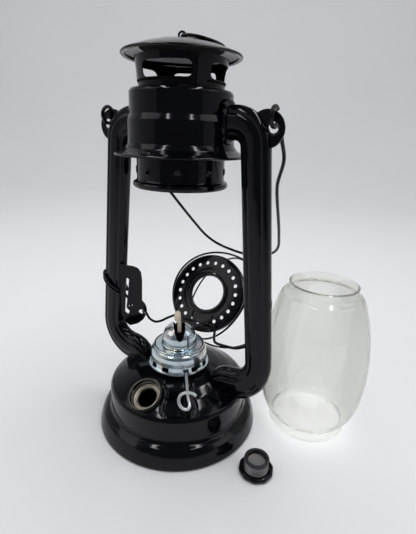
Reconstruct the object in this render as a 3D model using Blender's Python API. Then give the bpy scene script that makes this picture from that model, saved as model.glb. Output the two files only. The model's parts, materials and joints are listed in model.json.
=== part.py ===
"""A cold-blast barn lantern, opened for lighting.

The globe stands beside it, its plate is tipped back off the burner, and the filler cap lies on the floor.
Lengths in the tables and function arguments are millimetres; MM turns them into the scene's metres.
Origin: centre of the base, on the floor. +Z is up, the air tubes stand at -X and +X, the filler is at -Y.
"""
import math

import bmesh
import bpy
from mathutils import Matrix, Vector

MM = 0.001
GAP = 0.3            # clearance between pieces that touch
SHEET = 0.8          # tinplate thickness
ROUND = 24           # sides of the large turned pieces

# Tank and its filler
TANK_WALL_R = 48.7
RIM_R = 57.2
TANK_SKIN = [(56.4, 0.0), (RIM_R, 1.4), (56.3, 4.6), (54.2, 10.6), (51.8, 12.9), (TANK_WALL_R, 16.4),
             (TANK_WALL_R, 30.2), (44.0, 34.5), (37.0, 38.3), (30.0, 41.0), (15.0, 43.2)]
FLOOR_R = 54.8
FLOOR_Z = 1.0
NECK_AT = Vector((0.5, -37.0, 38.0))
NECK_TILT = math.radians(30)
NECK_R = 10.8
NECK_BORE_R = 7.8
NECK_DEPTH = 7.0

# Burner
KEY_SIDE = math.radians(36.5)        # the key points this far from -Y towards +X
KEY_OFFSET = 4.0                     # shaft beside the wick's middle plane
KEY_Z = 48.5
KEY_SLOPE = math.radians(4.3)
KEY_WIRE = 1.7
KEY_REACH = 43.0
KEY_CURL = [(1.8, -2.6, -0.2), (0.4, -4.9, 0.2), (-2.6, -4.2, 0.5), (-4.5, -1.7, 0.8), (-4.8, 1.3, 1.1),
            (-3.2, 4.0, 1.5), (-0.2, 5.0, 1.9), (3.4, 4.4, 2.1), (6.2, 2.5, 2.1), (7.7, -0.2, 2.0)]
BURNER_SKIN = [(21.2, 45.0), (19.8, 48.0), (19.8, 53.6), (18.6, 57.4), (17.6, 58.2), (17.6, 59.5), (9.3, 59.5)]
CONE_SKIN = [(12.1, 59.9), (11.9, 64.6), (11.3, 67.4), (9.4, 70.8), (6.0, 73.2), (0.0, 74.4)]
WICK_TUBE = (15.0, 4.4)
WICK_BORE = (14.0, 3.4)
WICK = (13.0, 2.4)

# Air tubes: centre line of the right one in the XZ plane
TUBE_A = 8.5                         # half width in the XZ plane
TUBE_B = 5.6                         # half width in Y
TUBE_LEAN = 0.0945                   # outward run for each unit down
TUBE_TOP_Z = 206.5
TUBE_END_X = 28.6
TOP_BEND_R = 12.5
LOW_BEND_R = 19.5
LOW_BEND_Z = 62.0

# Hood and chimney
HOOD_SKIN = [(38.7, 187.0), (39.5, 187.8), (36.6, 189.4), (33.2, 191.6), (31.5, 194.2), (31.5, 206.9),
             (30.0, 210.3), (30.0, 221.2), (29.0, 222.6), (25.5, 223.0)]
SKIRT_SKIN = [(28.0, 169.0), (28.8, 169.9), (28.8, 172.2), (27.2, 173.4), (26.5, 174.4), (26.5, 190.0),
              (24.9, 191.4)]
CHIMNEY_R = 24.3
SPRING_R = 27.3
SPRING_WIRE = 1.2
SPRING_TURNS = 4
SPRING_Z = (195.6, 221.0)            # wire centre at its ends
COWL_SKIN = [(24.7, 223.4), (24.9, 226.2), (26.0, 237.0), (26.3, 238.7)]
WINDOW_Z = (227.3, 235.3)
WINDOW_TURN = math.radians(13)       # the front window, from -Y towards +X
LID_SKIN = [(33.0, 239.4), (33.9, 240.0), (33.4, 240.9), (28.0, 242.8), (20.0, 245.4), (10.0, 247.9), (0.0, 249.0)]
RING_SIDE = math.radians(40)         # the lid ring lies towards this azimuth from +X
RING_AXIS_Z = 250.4
RING_TILT = math.radians(11)
RING_LENGTH = 26.0
RING_WIDTH = 20.0
RING_WIRE = 1.9

# Bail and ears
EAR_AT = (53.8, 203.6)
EAR_R = 10.0
EAR_THICK = 1.6
EAR_HOLE = (57.5, 204.5)
EAR_HOLE_R = 3.3
BAIL_WIRE = 2.3
BAIL_Z = 209.7
BAIL_HOOK_R = 5.0
BAIL_HANG = math.radians(44)         # behind straight down
BAIL_HALF = [(57.9, 9.5), (58.6, 16.3), (57.2, 31.0), (50.6, 48.8), (48.3, 56.5), (46.0, 69.2), (42.0, 96.6),
             (39.0, 114.5), (35.0, 132.5), (27.4, 144.6), (15.0, 152.0), (0.0, 155.6)]

# Globe lift
LIFT_WIRE = 1.9
HINGE = Vector((0.5, 22.9, 66.2))    # the plate's hinge line runs along X through here
PLATE_LEAN = math.radians(121)       # tipped back this far from flat
PLATE_REACH = 23.3                   # hinge to plate centre
PLATE_R = 30.4
PLATE_HOLE_R = 13.4
PLATE_UNDER = 2.0
VENT_COUNT = 22
VENT_R = 1.4
VENT_RING_R = 23.6
HOOP_WIRE = 1.5
HOOPS = {"guard_hoop_a": (math.radians(-20), 37.0), "guard_hoop_b": (math.radians(137), 39.2)}
HOOP_LOW = (31.6, 3.0)
HOOP_HIGH = (38.0, 55.0)
LEVER_AT = Vector((-50.8, -7.9, 0.0))
LEVER_ALONG = Vector((1.0, 1.0, 0.0)).normalized()
LEVER_NORMAL = Vector((1.0, -1.0, 0.0)).normalized()
LEVER_THICK = 1.0
LEVER_PIVOT = (10.2, 76.8)
LEVER_LIFT_POINT = (19.5, 70.0)
LEVER_OUTLINE = [(3.8, 110.7), (7.9, 109.0), (12.9, 107.9), (16.4, 106.2), (18.5, 103.0), (19.1, 96.6),
                 (18.7, 80.4), (21.2, 76.9), (22.3, 72.6), (21.7, 68.5), (19.3, 64.4), (15.2, 61.4), (9.1, 60.3),
                 (5.5, 64.1), (2.8, 71.1)]
LEVER_WINDOW = [(7.4, 99.7), (9.6, 98.0), (8.8, 89.3), (7.0, 75.6), (9.4, 72.0), (8.3, 69.7), (5.8, 72.4)]
LEVER_SLOT = (9.2, 11.7, 1.55)       # from and to, out from the pivot, and half width
CLIP_WIRE = 1.8

# Loose pieces
GLOBE_AT = Vector((84.8, 46.6, 0.0))
GLOBE_SKIN = [(27.0, 0.0), (26.4, 6.6), (30.2, 11.6), (33.6, 19.0), (36.2, 35.0), (37.0, 52.0), (35.6, 70.0),
              (31.8, 87.0), (29.0, 96.6), (26.6, 101.4), (23.5, 104.2), (22.9, 109.0)]
GLASS = 2.0
CAP_AT = Vector((72.8, -19.8, 0.0))

X, Y, Z = Vector((1, 0, 0)), Vector((0, 1, 0)), Vector((0, 0, 1))
KEY_OUT = Vector((math.sin(KEY_SIDE), -math.cos(KEY_SIDE), 0.0))
KEY_ACROSS = Vector((math.cos(KEY_SIDE), math.sin(KEY_SIDE), 0.0))


# ---------------------------------------------------------------- helpers

def clear_scene():
    for obj in list(bpy.data.objects):
        bpy.data.objects.remove(obj, do_unlink=True)


def material(name, colour, roughness, metallic, transmission=0.0):
    made = bpy.data.materials.new(name)
    made.use_nodes = True
    shader = made.node_tree.nodes["Principled BSDF"]
    shader.inputs["Base Color"].default_value = (*colour, 1.0)
    shader.inputs["Roughness"].default_value = roughness
    shader.inputs["Metallic"].default_value = metallic
    shader.inputs["Transmission Weight"].default_value = transmission
    made.diffuse_color = (*colour, 1.0)
    return made


def add_object(name, bm, finish, origin=(0, 0, 0)):
    """Turns a bmesh in world millimetres into an object whose origin is at `origin`."""
    bmesh.ops.recalc_face_normals(bm, faces=bm.faces)
    bmesh.ops.translate(bm, verts=bm.verts, vec=-Vector(origin))
    bmesh.ops.scale(bm, verts=bm.verts, vec=(MM, MM, MM))
    mesh = bpy.data.meshes.new(name)
    bm.to_mesh(mesh)
    bm.free()
    mesh.shade_smooth()
    mesh.set_sharp_from_angle(angle=math.radians(35))
    mesh.materials.append(finish)
    obj = bpy.data.objects.new(name, mesh)
    obj.location = Vector(origin) * MM
    bpy.context.scene.collection.objects.link(obj)
    return obj


def add_cutter(name, bm):
    made = add_object(name, bm, FINISH["zinc"])
    made.hide_render = True
    made.display_type = "WIRE"
    return made


def cut(obj, tool):
    step = obj.modifiers.new(tool.name, "BOOLEAN")
    step.operation = "DIFFERENCE"
    step.solver = "EXACT"
    step.object = tool


def shell(skin, wall=SHEET):
    """A closed outline: the skin, then the same line moved inwards by the wall. The skin runs bottom to top."""
    points = [Vector(p) for p in skin]
    inside = []
    for i, point in enumerate(points):
        normals = []
        for a, b in ((i - 1, i), (i, i + 1)):
            if a >= 0 and b < len(points):
                run = (points[b] - points[a]).normalized()
                normals.append(Vector((-run.y, run.x)))
        mean = sum(normals, Vector((0.0, 0.0))).normalized()
        inside.append(point + mean * wall / max(0.5, mean.dot(normals[0])))
        if point.x == 0.0:
            inside[-1].x = 0.0
    return [tuple(p) for p in points] + [tuple(p) for p in reversed(inside)]


def turned(bm, outline, steps=ROUND, frame=Matrix.Identity(4)):
    """Spins a closed (radius, height) outline round the frame's Z axis."""
    verts = [bm.verts.new(frame @ Vector((r, 0.0, z))) for r, z in outline]
    edges = [bm.edges.new((a, b)) for a, b in zip(verts, verts[1:] + verts[:1])
             if a is not b]
    axis = frame.to_3x3() @ Z
    bmesh.ops.spin(bm, geom=verts + edges, cent=frame.translation, axis=axis, angle=math.tau, steps=steps,
                   use_merge=True)
    bmesh.ops.remove_doubles(bm, verts=bm.verts, dist=1e-4)
    loose = [e for e in bm.edges if not e.link_faces]
    bmesh.ops.delete(bm, geom=loose, context="EDGES")


def lathe(name, outline, finish, steps=ROUND, frame=Matrix.Identity(4), origin=(0, 0, 0)):
    bm = bmesh.new()
    turned(bm, outline, steps, frame)
    return add_object(name, bm, finish, origin)


def disc_outline(radius, low, high):
    return [(0.0, low), (radius, low), (radius, high), (0.0, high)]


def ring_outline(inner, outer, low, high):
    return [(inner, low), (outer, low), (outer, high), (inner, high)]


def smooth_path(points, per_span=4, closed=False):
    """Points along a Catmull-Rom curve through the given ones."""
    points = [Vector(p) for p in points]
    count = len(points)
    out = []
    for i in range(count if closed else count - 1):
        if closed:
            p0, p1, p2, p3 = (points[(i + k) % count] for k in (-1, 0, 1, 2))
        else:
            p0, p1, p2, p3 = (points[min(max(i + k, 0), count - 1)] for k in (-1, 0, 1, 2))
        for k in range(per_span):
            t = k / per_span
            out.append(0.5 * (2 * p1 + (p2 - p0) * t + (2 * p0 - 5 * p1 + 4 * p2 - p3) * t ** 2
                              + (3 * p1 - p0 - 3 * p2 + p3) * t ** 3))
    if not closed:
        out.append(points[-1])
    return out


def path_frames(path, closed, side=None):
    """(point, across, up) along a path: a fixed `side` direction, or the least twist."""
    count = len(path)
    frames = []
    across = None
    for i, point in enumerate(path):
        before = path[i - 1] if closed or i else point
        after = path[(i + 1) % count] if closed or i < count - 1 else point
        along = (after - before).normalized()
        if side is not None:
            across = side
        elif across is None:
            across = along.orthogonal().normalized()
        across = (across - along * across.dot(along)).normalized()
        frames.append((point, across, along.cross(across)))
    return frames


def swept(bm, path, section, closed=False, side=None):
    """Sweeps section(i), a list of (across, up) offsets, along the path, with flat caps on an open one."""
    frames = path_frames(path, closed, side)
    if closed and side is None:
        frames = untwisted(path, frames)
    rings = [[bm.verts.new(point + across * a + up * b) for a, b in section(i)]
             for i, (point, across, up) in enumerate(frames)]
    pairs = zip(rings, rings[1:] + rings[:1]) if closed else zip(rings, rings[1:])
    for first, second in pairs:
        for k in range(len(first)):
            j = (k + 1) % len(first)
            bm.faces.new((first[k], first[j], second[j], second[k]))
    if not closed:
        bm.faces.new(rings[0])
        bm.faces.new(rings[-1])
    return rings


def untwisted(path, frames):
    """Spreads the twist that is left after one turn of a closed path over all its frames."""
    point, last_across, last_up = frames[-1]
    first_across = frames[0][1]
    twist = math.atan2(first_across.dot(last_up), first_across.dot(last_across))
    out = []
    for i, (point, across, up) in enumerate(frames):
        angle = twist * i / len(frames)
        out.append((point, across * math.cos(angle) + up * math.sin(angle),
                    up * math.cos(angle) - across * math.sin(angle)))
    return out


def circle(radius, sides=6):
    return [(radius * math.cos(math.tau * k / sides), radius * math.sin(math.tau * k / sides))
            for k in range(sides)]


def wire(name, path, diameter, finish, closed=False, sides=6, origin=(0, 0, 0)):
    bm = bmesh.new()
    swept(bm, path, lambda i: circle(diameter / 2, sides), closed)
    return add_object(name, bm, finish, origin)


def box(bm, low, high, frame=Matrix.Identity(4)):
    low, high = Vector(low), Vector(high)
    place = frame @ Matrix.Translation((low + high) / 2) @ Matrix.Diagonal((*(high - low), 1.0))
    bmesh.ops.create_cube(bm, size=1.0, matrix=place)


def rod(bm, start, end, radius, sides=12):
    start, end = Vector(start), Vector(end)
    turn = (end - start).to_track_quat("Z", "Y").to_matrix().to_4x4()
    place = Matrix.Translation((start + end) / 2) @ turn
    bmesh.ops.create_cone(bm, cap_ends=True, segments=sides, radius1=radius, radius2=radius,
                          depth=(end - start).length, matrix=place)


def plate_of(bm, loops, place, half):
    """A flat plate of the given thickness: the first loop is its edge and the others are holes."""
    edges = []
    for loop in loops:
        verts = [bm.verts.new(place(a, b, -half)) for a, b in loop]
        edges += [bm.edges.new((a, b)) for a, b in zip(verts, verts[1:] + verts[:1])]
    filled = bmesh.ops.triangle_fill(bm, edges=edges, use_beauty=True)
    faces = [g for g in filled["geom"] if isinstance(g, bmesh.types.BMFace)]
    pushed = bmesh.ops.extrude_face_region(bm, geom=faces, use_keep_orig=True)
    moved = [g for g in pushed["geom"] if isinstance(g, bmesh.types.BMVert)]
    bmesh.ops.translate(bm, verts=moved, vec=place(0, 0, half) - place(0, 0, -half))


def key_frame():
    """X across the wick's thin side, -Y out along the key, Z up."""
    return Matrix((KEY_ACROSS, -KEY_OUT, Z)).transposed().to_4x4()


def key_point(out, across=0.0, above=0.0):
    """A point of the key: out along its shaft, across it, and above it."""
    along = KEY_OUT * math.cos(KEY_SLOPE) - Z * math.sin(KEY_SLOPE)
    up = KEY_OUT * math.sin(KEY_SLOPE) + Z * math.cos(KEY_SLOPE)
    return KEY_ACROSS * (KEY_OFFSET + across) + Z * KEY_Z + along * out + up * above


def plate_point(x, front, above):
    """A point of the globe plate: x beside its middle, in front of the hinge line, and above it."""
    forward = Vector((0.0, -math.cos(PLATE_LEAN), math.sin(PLATE_LEAN)))
    upward = Vector((0.0, math.sin(PLATE_LEAN), math.cos(PLATE_LEAN)))
    return HINGE + X * x + forward * front + upward * above


def lever_point(along, height, off=0.0):
    return LEVER_AT + LEVER_ALONG * along + LEVER_NORMAL * off + Z * height


# ---------------------------------------------------------------- tank

def tube_line():
    """Centre line of the right air tube as (x, z, half width, half depth), hood to tank."""
    lean = math.atan(TUBE_LEAN)
    line_x = lambda z: 49.0 + (188.0 - z) * TUBE_LEAN
    top_z = TUBE_TOP_Z - TOP_BEND_R
    top_x = line_x(top_z + TOP_BEND_R * math.sin(lean)) - TOP_BEND_R * math.cos(lean)
    low_x = line_x(LOW_BEND_Z + LOW_BEND_R * math.sin(lean)) - LOW_BEND_R * math.cos(lean)
    line = [(TUBE_END_X, TUBE_TOP_Z, 9.6, 5.6), ((TUBE_END_X + top_x) / 2, TUBE_TOP_Z, 9.4, 5.6)]
    for k in range(6):
        angle = math.pi / 2 + (lean - math.pi / 2) * k / 5
        line.append((top_x + TOP_BEND_R * math.cos(angle), top_z + TOP_BEND_R * math.sin(angle),
                     9.2 - 0.12 * k, TUBE_B))
    line.append((line_x(130.0), 130.0, TUBE_A, TUBE_B))
    for k in range(6):
        angle = lean - (math.pi / 2 + lean) * k / 5
        line.append((low_x + LOW_BEND_R * math.cos(angle), LOW_BEND_Z + LOW_BEND_R * math.sin(angle),
                     TUBE_A + 2.5 * min(1.0, k / 2.5), TUBE_B + 0.12 * k))
    line += [(36.5, 41.8, 10.0, 6.4), (31.5, 39.4, 7.6, 6.2), (28.0, 36.4, 5.2, 5.6)]
    return line


def tube_section(half_wide, half_deep, sides=12):
    """A superellipse, with its long side along the first axis."""
    out = []
    for k in range(sides):
        c, s = math.cos(math.tau * k / sides), math.sin(math.tau * k / sides)
        out.append((math.copysign(abs(s) ** 0.8, s) * half_deep, math.copysign(abs(c) ** 0.8, c) * half_wide))
    return out


def air_tube_body(side, grow, bore):
    """A tube body for side -1 or 1, grown by `grow`, hollow where `bore` is true."""
    line = tube_line()
    path = [Vector((side * x, 0.0, z)) for x, z, wide, deep in line]
    bm = bmesh.new()
    outer = swept_open(bm, path, [tube_section(w + grow, d + grow) for x, z, w, d in line])
    if bore:
        inner = swept_open(bm, path, [tube_section(w - SHEET, d - SHEET) for x, z, w, d in line])
        for a, b in ((outer[0], inner[0]), (outer[-1], inner[-1])):
            for k in range(len(a)):
                j = (k + 1) % len(a)
                bm.faces.new((a[k], a[j], b[j], b[k]))
    else:
        bm.faces.new(outer[0])
        bm.faces.new(outer[-1])
    return bm


def swept_open(bm, path, sections):
    """Side walls only, with the sections' first axis along Y."""
    rings = [[bm.verts.new(p + across * a + up * b) for a, b in sections[i]]
             for i, (p, across, up) in enumerate(path_frames(path, False, Y))]
    for first, second in zip(rings, rings[1:]):
        for k in range(len(first)):
            j = (k + 1) % len(first)
            bm.faces.new((first[k], first[j], second[j], second[k]))
    return rings


def make_tank():
    body = lathe("tank_body", shell(TANK_SKIN), FINISH["black_enamel"])
    lathe("tank_bottom", disc_outline(FLOOR_R, FLOOR_Z, FLOOR_Z + SHEET), FINISH["black_enamel"])
    lathe("tank_collar", [(16.2, 43.6), (19.4, 43.2), (19.4, 44.0), (18.0, 44.4), (18.0, 45.6), (16.2, 45.6)],
          FINISH["zinc"])
    axis = Matrix.Translation(NECK_AT) @ Matrix.Rotation(NECK_TILT, 4, "X")
    lathe("filler_neck", [(NECK_BORE_R, -NECK_DEPTH), (NECK_R - 1.4, -NECK_DEPTH), (NECK_R - 1.4, -2.0),
                          (NECK_R, -1.2), (NECK_R, 0.6), (NECK_R - 1.0, 1.2), (NECK_BORE_R, 1.2)],
          FINISH["brass"], 20, axis)
    bm = bmesh.new()
    rod(bm, axis @ Vector((0, 0, -14)), axis @ Vector((0, 0, 12)), NECK_R + GAP, 28)
    cut(body, add_cutter("neck_cutter", bm))


def make_air_tubes():
    bm = bmesh.new()
    dome = [(r + GAP, z + GAP) for r, z in TANK_SKIN if z > 16.0]
    turned(bm, [(0.0, 10.0), (TANK_WALL_R + GAP, 10.0)] + dome + [(0.0, dome[-1][1])], ROUND)
    dome_cutter = add_cutter("dome_cutter", bm)
    cutters = {}
    for side, name in ((-1, "left"), (1, "right")):
        tube = add_object("air_tube_" + name, air_tube_body(side, 0.0, True), FINISH["black_enamel"])
        cut(tube, dome_cutter)
        cutters[name] = add_cutter("tube_cutter_" + name, air_tube_body(side, GAP, False))
    return cutters


# ---------------------------------------------------------------- burner

def make_burner():
    base = lathe("burner_base", shell(BURNER_SKIN), FINISH["zinc"])
    bm = bmesh.new()
    for k in range(12):
        turn = Matrix.Rotation(math.tau * k / 12, 4, "Z") @ key_frame()
        if k:
            box(bm, (-2.9, -26.0, 46.6), (2.9, -15.0, 50.0), turn)
        else:
            box(bm, (-2.2, -26.0, 45.9), (KEY_OFFSET + 1.6, -15.0, 50.0), turn)
    cut(base, add_cutter("gallery_cutter", bm))

    cone = lathe("burner_cone", shell(CONE_SKIN), FINISH["zinc"], 20)
    bm = bmesh.new()
    notch = [(1.5, 64.8), (3.8, 71.0), (4.4, 80.0), (-4.4, 80.0), (-3.8, 71.0), (-1.5, 64.8)]
    plate_of(bm, [notch], lambda a, b, c: KEY_ACROSS * a + Z * b + KEY_OUT * c, 20.0)
    cut(cone, add_cutter("notch_cutter", bm))
    bm = bmesh.new()
    box(bm, (-2.7, -8.1, 60.0), (2.7, 8.1, 90.0), key_frame())
    cut(cone, add_cutter("cone_slot_cutter", bm))

    bm = bmesh.new()
    wide, thin = WICK_TUBE
    box(bm, (-thin / 2, -wide / 2, 30.0), (thin / 2, wide / 2, 71.0), key_frame())
    tube = add_object("wick_tube", bm, FINISH["zinc"])
    bm = bmesh.new()
    wide, thin = WICK_BORE
    box(bm, (-thin / 2, -wide / 2, 20.0), (thin / 2, wide / 2, 80.0), key_frame())
    cut(tube, add_cutter("wick_bore_cutter", bm))
    bm = bmesh.new()
    box(bm, (0.9, -6.2, KEY_Z - 3.4), (4.0, 6.2, KEY_Z + 3.4), key_frame())
    cut(tube, add_cutter("wheel_window_cutter", bm))


def make_wick():
    bm = bmesh.new()
    wide, thin = WICK
    rows = [(0.0, 12.0), (0.0, 40.0), (0.0, 75.6), (-0.7, 78.4), (-1.8, 81.0)]
    path = [KEY_ACROSS * lean + Z * z for lean, z in rows]
    section = [(-thin / 2, -wide / 2), (thin / 2, -wide / 2), (thin / 2, wide / 2), (-thin / 2, wide / 2)]
    swept(bm, path, lambda i: section, side=KEY_ACROSS)
    add_object("wick", bm, FINISH["wick_cotton"])


def make_key():
    """The shank runs on into a hook that curls forward and round in front of it, tilted to the shank."""
    pivot = key_point(0.0)
    along = (key_point(1.0) - key_point(0.0)).normalized()
    across = (key_point(0.0, 1.0) - key_point(0.0)).normalized()
    up = (key_point(0.0, 0.0, 1.0) - key_point(0.0)).normalized()
    tilt = math.radians(43)
    lean, front = up * math.cos(tilt) - along * math.sin(tilt), up * math.sin(tilt) + along * math.cos(tilt)
    path = [key_point(-6.0), key_point(10.0), key_point(30.0), key_point(KEY_REACH)]
    path += [key_point(KEY_REACH + 3.0, -1.0) + across * a + lean * b + front * c for a, b, c in KEY_CURL]
    wire("wick_key", path, KEY_WIRE, FINISH["zinc"], sides=8, origin=pivot)
    turn = (key_point(1.0) - key_point(0.0)).to_track_quat("Z", "Y").to_matrix().to_4x4()
    for name, out in (("wick_wheel_a", 4.0), ("wick_wheel_b", -4.0)):
        frame = Matrix.Translation(key_point(out)) @ turn
        lathe(name, ring_outline(KEY_WIRE / 2 + 0.15, 2.5, -0.8, 0.8), FINISH["zinc"], 14, frame, pivot)


# ---------------------------------------------------------------- hood, ears, bail

def make_hood(tube_cutters):
    hood = lathe("hood", shell(HOOD_SKIN), FINISH["black_enamel"])
    for tool in tube_cutters.values():
        cut(hood, tool)
    path = []
    for k in range(SPRING_TURNS * 14 + 1):
        angle = math.tau * k / 14
        path.append(Vector((SPRING_R * math.cos(angle), SPRING_R * math.sin(angle),
                            SPRING_Z[0] + (SPRING_Z[1] - SPRING_Z[0]) * k / (SPRING_TURNS * 14))))
    wire("chimney_spring", path, SPRING_WIRE, FINISH["spring_steel"], sides=5)


def make_ears(tube_cutters):
    for side, name in ((-1, "left"), (1, "right")):
        def place(a, b, c, side=side):
            return Vector((side * a, c, b))
        edge = [(EAR_AT[0] + a, EAR_AT[1] + b) for a, b in circle(EAR_R, 32)]
        hole = [(EAR_HOLE[0] + a, EAR_HOLE[1] + b) for a, b in circle(EAR_HOLE_R, 16)]
        bm = bmesh.new()
        plate_of(bm, [edge, hole], place, EAR_THICK / 2)
        ear = add_object("ear_" + name, bm, FINISH["black_enamel"])
        cut(ear, tube_cutters[name])


def bail_path():
    """From the left hook's tip round the bail to the right hook's tip, at rest."""
    back = Vector((0.0, math.sin(BAIL_HANG), -math.cos(BAIL_HANG)))
    over = Vector((0.0, math.cos(BAIL_HANG), math.sin(BAIL_HANG)))
    centre = Z * BAIL_Z
    hook = []
    for k in range(9):
        angle = math.radians(-262 + 33.5 * k)
        hook.append((57.6, BAIL_HOOK_R * math.cos(angle), BAIL_HOOK_R * math.sin(angle)))
    arm = [(x, s, 0.0 if s > 12.0 else 2.2) for x, s in BAIL_HALF]
    half = [centre + X * x + back * s + over * h for x, s, h in hook + arm]
    mirrored = [Vector((-p.x, p.y, p.z)) for p in reversed(half[:-1])]
    return half + mirrored


def make_bail():
    wire("bail", bail_path(), BAIL_WIRE, FINISH["bail_wire"], origin=Z * BAIL_Z)


# ---------------------------------------------------------------- chimney

def make_chimney():
    skirt = lathe("chimney_skirt", shell(SKIRT_SKIN), FINISH["black_enamel"])
    bm = bmesh.new()
    for k in range(9):
        out = Matrix.Rotation(math.radians(40 * k + 20), 3, "Z") @ X
        rod(bm, out * 20.0 + Z * 179.0, out * 32.0 + Z * 179.0, 1.5, 8)
    cut(skirt, add_cutter("skirt_hole_cutter", bm))
    flange = [(CHIMNEY_R - SHEET, 189.0), (CHIMNEY_R, 189.0), (CHIMNEY_R, 193.0), (27.9, 193.4), (27.9, 194.2),
              (CHIMNEY_R, 194.6), (CHIMNEY_R, 223.0), (CHIMNEY_R - SHEET, 223.0)]
    lathe("chimney_tube", flange, FINISH["black_enamel"])
    lathe("globe_stop_ring", ring_outline(19.5, 25.3, 181.6, 182.4), FINISH["zinc"])
    cowl = lathe("cowl", shell(COWL_SKIN), FINISH["black_enamel"])
    bm = bmesh.new()
    wide = 2 * 25.6 * math.sin(math.radians(33))
    for k in range(4):
        turn = Matrix.Rotation(math.tau * k / 4 + WINDOW_TURN, 4, "Z")
        box(bm, (-wide / 2, -34.0, WINDOW_Z[0]), (wide / 2, -19.0, WINDOW_Z[1]), turn)
    cut(cowl, add_cutter("window_cutter", bm))
    lathe("lid", shell(LID_SKIN), FINISH["black_enamel"])


def make_lid_ring():
    out = Vector((math.cos(RING_SIDE), math.sin(RING_SIDE), 0.0))
    across = Vector((-out.y, out.x, 0.0))
    axis_at = Z * RING_AXIS_Z
    path = []
    for k in range(11):
        angle = math.radians(-38 + 256 * k / 10)
        path.append(axis_at + Z * 0.1 + out * (2.2 * math.cos(angle)) + Z * (2.2 * math.sin(angle)))
    wire("lid_eyelet", path, 1.4, FINISH["bail_wire"])
    slope = out * math.cos(RING_TILT) - Z * math.sin(RING_TILT)
    path = []
    for k in range(28):
        angle = math.tau * k / 28
        path.append(axis_at + slope * (RING_LENGTH - RING_WIRE) / 2 * (1 - math.cos(angle))
                    + across * (RING_WIDTH - RING_WIRE) / 2 * math.sin(angle))
    wire("lid_ring", path, RING_WIRE, FINISH["bail_wire"], closed=True, origin=axis_at)


# ---------------------------------------------------------------- globe lift

def make_plate():
    under = PLATE_UNDER
    outline = [(PLATE_HOLE_R, under), (PLATE_R - 0.6, under), (PLATE_R, under + 0.6), (PLATE_R, under + 4.0),
               (PLATE_R - 0.7, under + 4.0), (PLATE_R - 0.7, under + SHEET), (PLATE_HOLE_R + 0.8, under + SHEET),
               (PLATE_HOLE_R + 0.8, under + 2.4), (PLATE_HOLE_R, under + 2.4)]
    centre = plate_point(0.0, PLATE_REACH, 0.0)
    frame = Matrix.Translation(centre) @ Matrix.Rotation(-PLATE_LEAN, 4, "X")
    plate = lathe("globe_plate", outline, FINISH["black_enamel"], 22, frame, HINGE)
    bm = bmesh.new()
    for k in range(VENT_COUNT):
        angle = math.tau * (k + 0.5) / VENT_COUNT
        x, front = VENT_RING_R * math.cos(angle), PLATE_REACH + VENT_RING_R * math.sin(angle)
        rod(bm, plate_point(x, front, under - 3), plate_point(x, front, under + 4), VENT_R, 6)
    cut(plate, add_cutter("vent_cutter", bm))
    for name, x in (("plate_clip_left", -8.5), ("plate_clip_right", 8.5)):
        mean = LIFT_WIRE / 2 + 0.2 + 0.3
        path = [plate_point(x, 7.5, mean), plate_point(x, 4.0, mean)]
        for k in range(11):
            angle = math.radians(90 + 30 * k)
            path.append(plate_point(x, mean * math.cos(angle), mean * math.sin(angle)))
        bm = bmesh.new()
        section = [(-2.2, -0.25), (2.2, -0.25), (2.2, 0.25), (-2.2, 0.25)]
        swept(bm, path, lambda i: section, side=X)
        add_object(name, bm, FINISH["zinc"], HINGE)
    for name, (low_at, half_wide) in HOOPS.items():
        path = []
        shift, reach = (HOOP_HIGH[0] - HOOP_LOW[0]) / 2, (HOOP_HIGH[0] + HOOP_LOW[0]) / 2
        for k in range(30):
            angle = math.tau * k / 30
            inward = reach * math.cos(angle) - shift
            sideways = half_wide * math.sin(angle)
            height = (HOOP_HIGH[1] + HOOP_LOW[1]) / 2 - (HOOP_HIGH[1] - HOOP_LOW[1]) / 2 * math.cos(angle)
            x = inward * math.cos(low_at) - sideways * math.sin(low_at)
            front = inward * math.sin(low_at) + sideways * math.cos(low_at)
            path.append(plate_point(x, PLATE_REACH + front, height))
        wire(name, path, HOOP_WIRE, FINISH["lift_wire"], closed=True, origin=HINGE)


def make_lift_wire():
    hook = lever_point(*LEVER_LIFT_POINT)
    out, back = hook + LEVER_NORMAL * 2.6, hook - LEVER_NORMAL * 2.2
    turn = hook - LEVER_NORMAL * 4.0 + LEVER_ALONG * 1.6 - Z * 0.4
    left = smooth_path([back, turn, (-36.2, 12.0, 62.8), (-32.0, 14.0, 60.2), (-28.0, 16.0, 61.2),
                        (-24.0, 19.2, 63.6), (-20.0, 22.0, 65.6), (-17.0, 22.9, 66.2), (-13.0, 22.9, 66.2)], 3)
    right = smooth_path([(13.0, 22.9, 66.2), (17.0, 21.4, 66.0), (22.5, 10.5, 65.2), (27.0, 5.0, 65.0),
                         (35.0, 4.8, 65.0), (42.0, 6.0, 65.2), (47.0, 9.0, 66.4), (52.0, 9.6, 67.6),
                         (58.0, 9.2, 68.0), (63.5, 8.4, 67.6)], 3)
    wire("lift_wire", [out] + left + right, LIFT_WIRE, FINISH["lift_wire"])


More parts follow.
